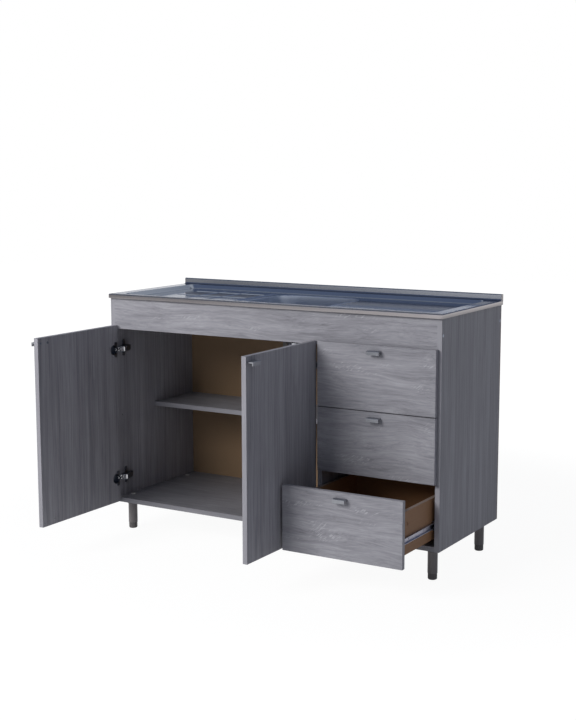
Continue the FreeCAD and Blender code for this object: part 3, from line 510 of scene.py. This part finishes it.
def sink_field():
    """Pressed sheet between the rims: both faces of a height field, left open under the bowl's flange."""
    inset = 5.5 * MM
    wall = [(s * (FIELD_HALF[0] - FIELD_RUN / 2), 10 * MM, 15) for s in (-1, 1)]
    xs = lines_between(-TOP_HALF + inset, TOP_HALF - inset, 9 * MM,
                       wall + [(at, 5 * MM, 11) for at in BEADS_DEPTHWISE]
                       + [(s * (FIELD_HALF[0] - FIELD_R), 20 * MM, 14) for s in (-1, 1)]
                       + [(at, 5 * MM, 7) for at in BEAD_SPAN_X])
    rear = WALL_Y - UPSTAND_T - COVE
    ys = lines_between(FRONT_Y + inset, rear, 9 * MM,
                       [(FIELD_MID[1] + s * (FIELD_HALF[1] - FIELD_RUN / 2), 10 * MM, 15) for s in (-1, 1)]
                       + [(at, 5 * MM, 11) for at in BEADS_WIDTHWISE]
                       + [(FIELD_MID[1] + s * (FIELD_HALF[1] - FIELD_R), 18 * MM, 13) for s in (-1, 1)]
                       + [(at, 5 * MM, 7) for at in BEAD_SPAN_Y])
    x, y = np.meshgrid(xs, ys)
    upper = np.stack([x, y, field_height(x, y)], -1).reshape(-1, 3)
    normals = sheet_normals(x, y).reshape(-1, 3)
    lower = upper - normals * SHEET
    faces = grid_faces(len(ys), len(xs))
    middle = upper[faces].mean(1)
    faces = faces[round_distance(middle[:, 0], middle[:, 1], (0.0, BOWL_MID), BOWL_HALF, BOWL_R) > 4 * MM]
    count = len(upper)
    both = np.concatenate([faces, faces[:, ::-1] + count])
    used, number = np.unique(both, return_inverse=True)
    points = np.concatenate([upper, lower])[used]
    shade = np.concatenate([normals, -normals])[used]
    obj = piece("sink_field", points, number.reshape(both.shape), STEEL, "carcass", "stainless")
    obj.data.normals_split_custom_set_from_vertices(shade.tolist())
    return obj


def rim_path():
    """Stations and outward directions round the ends and the front, with round front corners."""
    r = RIM_CORNER_R
    half = TOP_HALF
    rear = WALL_Y - 1 * MM
    flat = [np.stack([np.full(8, half), np.linspace(rear, FRONT_Y + r, 8)], -1)]
    out = [np.tile((1.0, 0.0), (8, 1))]
    for side, a0 in ((1, 0.0), (-1, -90.0)):
        turn = np.radians(np.linspace(a0, a0 - 90.0, 9))
        centre = np.array((side * (half - r), FRONT_Y + r))
        outward = np.stack([np.cos(turn), np.sin(turn)], -1)
        flat.append(centre + r * outward)
        out.append(outward)
        if side == 1:
            xs = np.linspace(half - r, -half + r, 20)[1:-1]
            flat.append(np.stack([xs, np.full(len(xs), FRONT_Y)], -1))
            out.append(np.tile((0.0, -1.0), (len(xs), 1)))
    flat.append(np.stack([np.full(7, -half), np.linspace(FRONT_Y + r, rear, 8)[1:]], -1))
    out.append(np.tile((-1.0, 0.0), (7, 1)))
    flat, out = np.concatenate(flat), np.concatenate(out)
    keep = np.append(True, np.linalg.norm(np.diff(flat, axis=0), axis=1) > 1e-6)
    flat, out = flat[keep], out[keep]
    stations = np.column_stack([flat, np.full(len(flat), RIM_Z)])
    return stations, np.column_stack([out, np.zeros(len(out))])


def rim():
    """Rolled rim: a flat lip, a round shoulder and a skirt with a small hem, carried round three sides."""
    lip, hem_r = 7 * MM, 0.9 * MM
    low = SKIRT_Z - RIM_Z
    profile = [(-lip, -0.1 * MM), (-lip + 0.5 * MM, SEAM_LIFT)]
    profile += arc((-ROLL, -ROLL + SEAM_LIFT), ROLL, 90, 0, 8).tolist()
    profile += [(0, low + 1.2 * MM)]
    profile += arc((-hem_r, low + hem_r), hem_r, 0, -180, 7).tolist()
    profile += [(-2 * hem_r, low + 4 * MM), (-SHEET, low + 4.4 * MM), (-SHEET, -ROLL), (-2.6 * MM, -SHEET),
                (-lip, -SHEET)]
    stations, out = rim_path()
    points, faces = section_along(profile, stations, out)
    return welded(piece("sink_rim", points, faces, RIM_STEEL, "carcass", "stainless"))


def upstand():
    """Upstand: coved foot, round top and a folded back, drawn in section and carried along the wall."""
    front = WALL_Y - UPSTAND_T
    crest = UPSTAND_TOP - HEM_PROUD - ROLL
    section = [(front - COVE - 3 * MM, RIM_Z - SHEET), (front - COVE - 2.6 * MM, RIM_Z + SEAM_LIFT)]
    section += arc((front - COVE, RIM_Z + COVE + SEAM_LIFT), COVE, -90, 0, 9).tolist()
    section += arc((front + ROLL, crest), ROLL, 180, 90, 8).tolist()
    section += arc((WALL_Y - ROLL, crest), ROLL, 90, 0, 8).tolist()
    section += [(WALL_Y, SKIRT_Z), (WALL_Y - SHEET, SKIRT_Z), (WALL_Y - SHEET, RIM_Z - SHEET)]
    stations = [(x, 0.0, 0.0) for x in np.linspace(-TOP_HALF + 0.3 * MM, TOP_HALF - 0.3 * MM, 12)]
    points, faces = section_along(section, stations, [(0.0, 1.0, 0.0)] * 12)
    obj = welded(piece("sink_upstand", points, faces, BACK_STEEL, "carcass", "stainless"))
    hems = []
    for side in (-1, 1):
        hem = [(front - HEM_STEP, RIM_Z + COVE), (front - HEM_STEP, crest)]
        hem += arc((front + ROLL, crest), ROLL + HEM_PROUD, 180, 90, 6).tolist()
        hem += arc((WALL_Y - ROLL - HEM_PROUD, crest), ROLL + HEM_PROUD, 90, 0, 6).tolist()
        hem += [(WALL_Y, RIM_Z), (front - HEM_STEP, RIM_Z)]
        x0 = side * (TOP_HALF - HEM_W)
        hems.append(section_along(hem, [(x0, 0, 0), (side * TOP_HALF, 0, 0)], [(0.0, 1.0, 0.0)] * 2))
    points, faces = joined(hems)
    welded(piece("upstand_hems", points, faces, RIM_STEEL, "carcass", "stainless"))
    return obj


def round_ring(half, r, steps=15):
    """Rounded rectangle as a ring of points and outward directions, corner by corner."""
    points, out = [], []
    for sx, sy, a0 in ((1, -1, -90), (1, 1, 0), (-1, 1, 90), (-1, -1, 180)):
        turn = np.radians(np.linspace(a0, a0 + 90, steps))
        d = np.stack([np.cos(turn), np.sin(turn)], -1)
        points.append(np.array((sx * (half[0] - r), sy * (half[1] - r))) + r * d)
        out.append(d)
    return np.concatenate(points), np.concatenate(out)


def bowl():
    """Bowl: rounded rectangles that shrink down the drafted wall and round the foot to the drain."""
    flange, lip, proud = 9 * MM, 1.6 * MM, 0.04 * MM
    foot, draft, drain = 25 * MM, 5 * MM, 46 * MM
    depth = FIELD_Z - BOWL_Z
    profile = [(flange, -SHEET), (flange, proud), (lip, proud)]
    profile += [(lip + lip * math.cos(a), -lip + lip * math.sin(a) + proud)
                for a in np.radians(np.linspace(95, 178, 7))]
    walls = np.linspace(-lip * 1.5, -depth + foot, 9)
    profile += [(-draft * (-z / depth), z) for z in walls]
    profile += [(-draft - foot + foot * math.cos(a), -depth + foot - foot * math.sin(a))
                for a in np.radians(np.linspace(8, 90, 10))]
    rings = []
    for out, z in profile:
        ring, normal = round_ring(BOWL_HALF, BOWL_R)
        ring = ring + normal * out
        rings.append(np.column_stack([ring[:, 0], ring[:, 1] + BOWL_MID, np.full(len(ring), FIELD_Z + z)]))
    last = rings[-1]
    angle = np.arctan2(last[:, 1] - BOWL_MID, last[:, 0])
    for t in (0.25, 0.5, 0.75, 0.93, 1.0):
        circle = np.column_stack([drain * np.cos(angle), BOWL_MID + drain * np.sin(angle), last[:, 2]])
        ring = last * (1 - t) + circle * t
        ring[:, 2] = BOWL_Z - 1.2 * MM * smooth_step(t)
        rings.append(ring)
    count = len(rings[0])
    inner = np.concatenate(rings)
    faces = grid_faces(len(rings), count, wrap_columns=True)[:, ::-1]
    obj = piece("sink_basin", inner, faces, BOWL_STEEL, "carcass", "stainless")
    centre = np.array((0.0, BOWL_MID, 0.0))
    outer = []
    for ring in rings[2:]:
        away = ring - centre
        away[:, 2] = 0
        away /= np.linalg.norm(away, axis=1, keepdims=True)
        moved = ring + away * SHEET
        moved[:, 2] -= SHEET * 0.8
        outer.append(moved)
    faces = grid_faces(len(outer), count, wrap_columns=True)
    piece("sink_basin_outside", np.concatenate(outer), faces, BOWL_STEEL, "carcass", "stainless")
    return obj


def dress_sink():
    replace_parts(sink_field(), "sink_top")
    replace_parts(rim(), "sink_top")
    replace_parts(upstand(), "sink_top")
    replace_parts(bowl(), "sink_bowl")


# ---- handles -----------------------------------------------------------------------------------
HANDLE_OUT, HANDLE_H, FLANGE_T, LIP_T, NOSE_R = 18 * MM, 12 * MM, 5 * MM, 4 * MM, 1.4 * MM
HANDLE_HALF, HEAD_PITCH = 20 * MM, 16 * MM
HEAD_R, HEAD_H, HEAD_DROP, HEAD_STEPS = 4 * MM, 1.6 * MM, 2.5 * MM, 48


def angle_bar(name, foot, out, along, body):
    """Angle-section bar that stands out from its foot: a flange with a lip at its tip."""
    section = [(0.0, 0.0)]
    section += arc((HANDLE_OUT - NOSE_R, -NOSE_R), NOSE_R, 90, 0, 6).tolist()
    section += [(HANDLE_OUT, -HANDLE_H), (HANDLE_OUT - LIP_T, -HANDLE_H), (HANDLE_OUT - LIP_T, -FLANGE_T),
                (0.0, -FLANGE_T)]
    stations = [foot + along * at for at in (-HANDLE_HALF, HANDLE_HALF)]
    points, faces = section_along(section, stations, [out, out])
    obj = welded(piece(name, points, faces, HANDLE, body, "handle_satin"), 30)
    ease = obj.modifiers.new("eased_edges", "BEVEL")
    ease.width, ease.segments = 0.4 * MM, 2
    ease.limit_method, ease.angle_limit = "ANGLE", math.radians(50)
    ease.harden_normals = True
    return obj


def cross_screw(centre, axis):
    """Pan-head screw: rings up a low dome, with a cross-shaped recess pressed into the middle."""
    side = np.cross(axis, (0.3, 0.5, 0.81))
    side /= np.linalg.norm(side)
    other = np.cross(axis, side)
    turn = np.linspace(0, 2 * math.pi, HEAD_STEPS, endpoint=False)
    rings = [(1.0, 0.0), (1.0, 0.25), (0.96, 0.55), (0.86, 0.82), (0.7, 0.96), (0.55, 1.0), (0.42, 1.02),
             (0.3, 1.02), (0.18, 1.02), (0.02, 1.02)]
    cross = np.minimum(np.abs(np.cos(turn)), np.abs(np.sin(turn)))
    points = []
    for radius, rise in rings:
        sunk = smooth_step((0.13 - cross * radius) / 0.06) * smooth_step((0.6 - radius) / 0.1) * 0.7
        points.append(centre + np.outer(np.cos(turn) * radius * HEAD_R, side)
                      + np.outer(np.sin(turn) * radius * HEAD_R, other)
                      + np.outer(HEAD_H * (rise - sunk), axis))
    return np.concatenate(points), grid_faces(len(rings), HEAD_STEPS, wrap_columns=True)


def dress_handle(node, label, body, out, along, screw):
    """Bar and screws in place of the solid handle, from the screw heads' tops to the bar's tip."""
    low, high = (np.array(corner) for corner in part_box(node))
    out, along = np.array(out, float), np.array(along, float)
    tip, heads_at = max(low @ out, high @ out), min(low @ out, high @ out) + HEAD_H
    middle = (low + high) / 2
    middle[2] = low[2] + HANDLE_H
    middle = middle - out * (middle @ out)
    bar = angle_bar("handle_bar_" + label, middle + out * (tip - HANDLE_OUT), out, along, body)
    middle[2] -= HEAD_DROP
    heads = [cross_screw(middle + out * heads_at + along * at, -out) for at in (-HEAD_PITCH, HEAD_PITCH)]
    screws = welded(piece("handle_screws_" + label, *joined(heads), screw, body, "screw_zinc"), 50)
    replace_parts(bar, node)
    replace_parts(screws, node)


# ---- carried-over nodes ------------------------------------------------------------------------
DRAWERS = ("bottom", "middle", "top")


def wear(finish, *nodes):
    """Gives the finish to solids that keep their CAD shape."""
    for node in nodes:
        obj = frame["nodes"][node]
        obj.data.materials.clear()
        obj.data.materials.append(finish)


def dress_boards():
    wear(UPRIGHT_BOARD, "side_panel_left", "side_panel_right", "divider_panel")
    wear(UPRIGHT_BOARD, "door_panel_left", "door_panel_right")
    wear(FRONT_BOARD, "front_apron", "rear_rail")
    wear(INNER_BOARD_PAINTED_SHADE, "bottom_panel", "shelf")
    wear(FIBRE, "back_board_left", "back_board_right")
    for name in DRAWERS:
        wear(FRONT_BOARD, "drawer_front_" + name)
        wear(FIBRE, "drawer_floor_" + name)
        wear(BOX, "drawer_sides_" + name, "drawer_back_" + name)
        wear(SLIDE, "drawer_runners_" + name)
        wear(GREY, "ball_cages_" + name)
    wear(GREY, "back_joint_strip")
    wear(SLIDE, "slide_members", "top_brackets", "shelf_pins")
    wear(SCREW, "carcass_screws")
    wear(WHITE, "cam_caps")


def dress_fittings():
    # Hinge plates, arms and cups wear the dark plate: painted shade and painted dark reflection on plated
    # steel.
    wear(PLATE_PAINTED_SHADE, "hinge_plates", "hinge_arms", "hinge_cups_left", "hinge_cups_right")
    wear(BRIGHT_PLATE, "inner_links_left", "inner_links_right", "outer_links_left", "outer_links_right")
    wear(LEG_TUBE, "leg_tubes")
    wear(LEG_PLASTIC, "leg_plates", "leg_feet")
    wear(STRAINER, "waste_body", "strainer_basket")
    wear(BLACK, "waste_nut", "tailpiece")
    wear(RUBBER, "waste_gasket")


def dress_handles():
    for name in DRAWERS:
        dress_handle("drawer_handle_" + name, name, "drawer_" + name, (0, -1, 0), (1, 0, 0), SCREW)
    for side, out in (("left", (-1, 0, 0)), ("right", (1, 0, 0))):
        # The door handles' screws share the dark plate: painted shade.
        dress_handle("door_handle_" + side, side, "door_" + side, out, (0, 1, 0), PLATE_PAINTED_SHADE)


# ---- studio ------------------------------------------------------------------------------------
CAMERA_AT = (2.166056, -3.885954, 1.223569)
YAW, PITCH, ROLL_ANGLE = 0.5435105, -0.1471092, -0.0019528
FOCAL_PX, CENTRE_PX, FRAME_PX = 1337.922, (287.849, 359.495), (576, 720)
SENSOR = 36.0


def camera():
    """Camera at the photograph's viewing point."""
    forward = Vector((-math.sin(YAW) * math.cos(PITCH), math.cos(YAW) * math.cos(PITCH), math.sin(PITCH)))
    right = Vector((math.cos(YAW), math.sin(YAW), 0.0))
    up = right.cross(forward)
    turned_right = math.cos(ROLL_ANGLE) * right + math.sin(ROLL_ANGLE) * up
    turned_up = -math.sin(ROLL_ANGLE) * right + math.cos(ROLL_ANGLE) * up
    data = bpy.data.cameras.new("camera")
    data.sensor_fit = "VERTICAL"
    data.sensor_height = SENSOR
    data.lens = FOCAL_PX / FRAME_PX[1] * SENSOR
    data.shift_x = (FRAME_PX[0] / 2 - CENTRE_PX[0]) / FRAME_PX[1]
    data.shift_y = (CENTRE_PX[1] - FRAME_PX[1] / 2) / FRAME_PX[1]
    obj = bpy.data.objects.new("camera", data)
    bpy.context.scene.collection.objects.link(obj)
    axes = Matrix((turned_right, turned_up, -forward)).transposed().to_4x4()
    obj.matrix_world = Matrix.Translation(CAMERA_AT) @ axes
    bpy.context.scene.camera = obj


def softbox(name, at, target, size, power, tint):
    """Rectangular lamp that lights the unit but doesn't show in its steel."""
    data = bpy.data.lights.new(name, "AREA")
    data.shape = "RECTANGLE"
    data.size, data.size_y = size
    data.energy = power
    data.color = tint
    obj = bpy.data.objects.new(name, data)
    bpy.context.scene.collection.objects.link(obj)
    obj.location = at
    obj.rotation_euler = (Vector(target) - Vector(at)).to_track_quat("-Z", "Y").to_euler()
    obj.visible_glossy = False


def world(strength, tint):
    """Even sky for the light, white for the camera. Metal sees a white wall behind the unit, a dimmer room
    before it with a light side on the left, and a bluish ceiling with one pale panel towards the wall."""
    w = bpy.data.worlds.new("studio")
    bpy.context.scene.world = w
    w.use_nodes = True
    tree = w.node_tree
    tree.nodes.clear()
    path = add_node(tree, "ShaderNodeLightPath").outputs
    direction = add_node(tree, "ShaderNodeTexCoord").outputs["Generated"]
    split = add_node(tree, "ShaderNodeSeparateXYZ", Vector=Wire(tree, direction))
    right, back, height = (Wire(tree, socket) for socket in split.outputs)

    def light(colour, power):
        node = add_node(tree, "ShaderNodeBackground", Color=(*colour, 1), Strength=power)
        return Wire(tree, node.outputs[0])

    def blend(share, a, b):
        return Wire(tree, add_node(tree, "ShaderNodeMixShader", i0=share, i1=a, i2=b).outputs[0])

    white = light((1, 1, 1), 1.0)
    behind = back.over(-0.25, 0.3)
    room = light((0.96, 0.97, 1.0), 0.34 + right.over(-0.62, -0.36) * 0.7)
    walls = blend(behind, room, white)
    panel = (height.over(0.51, 0.59) - height.over(0.86, 0.97)) * back.over(0.0, 0.25)
    ceiling = blend(panel, light((0.5, 0.64, 1.0), 0.25), light((0.84, 0.9, 1.0), 0.55))
    edge = height - (1.0 - behind) * 0.12
    reflected = blend(edge.over(0.092, 0.112), walls, ceiling)
    lit = blend(Wire(tree, path["Is Glossy Ray"]), light(tint, strength), reflected)
    add_node(tree, "ShaderNodeOutputWorld", Surface=blend(Wire(tree, path["Is Camera Ray"]), lit, white))


def floor():
    """Pale floor that keeps the object's shadow. The camera sees it as white away from the unit, and metal
    sees it glow, more so between its far left and the unit."""
    half = 9.0
    mesh = bpy.data.meshes.new("studio_floor")
    corners = [(-half, -half, 0), (half, -half, 0), (half, half, 0), (-half, half, 0)]
    mesh.from_pydata(corners, [], [(0, 1, 2, 3)])
    obj = bpy.data.objects.new("studio_floor", mesh)
    bpy.context.scene.collection.objects.link(obj)
    f = Finish("pale_floor", Roughness=0.9, Specular_IOR_Level=0.1)
    f.give(Base_Color=f.mix(f.noise(2.0), (0.84, 0.84, 0.84), (0.88, 0.88, 0.88)))
    path = add_node(f.tree, "ShaderNodeLightPath").outputs
    x, y, _ = f.axes()
    near = 1.0 - ((x * x + y * y) ** 0.5).over(0.9, 2.2)
    seen = Wire(f.tree, path["Is Camera Ray"]) * (1.0 - near * 0.1)
    left_band = x.over(-5.6, -2.4) - x.over(-1.5, 1.0)
    shine = Wire(f.tree, path["Is Glossy Ray"]) * (0.42 + left_band * 0.35)
    glow = f.node("ShaderNodeEmission", Color=(1, 1, 1, 1), Strength=1.05)
    surface = f.node("ShaderNodeMixShader", i0=seen + shine, i1=Wire(f.tree, f.shader.outputs[0]), i2=glow)
    plug(f.tree, f.tree.nodes["Material Output"].inputs[0], surface)
    obj.data.materials.append(f.material)


def studio():
    bpy.context.scene.view_settings.view_transform = "Standard"
    camera()
    world(0.23, (0.80, 0.845, 1.0))
    floor()
    softbox("key", (-1.55, -4.2, 2.7), (0.0, -0.3, 0.45), (2.4, 1.8), 160.0, (1.0, 0.985, 0.97))


dress_boards()
dress_fittings()
dress_sink()
dress_handles()
studio()
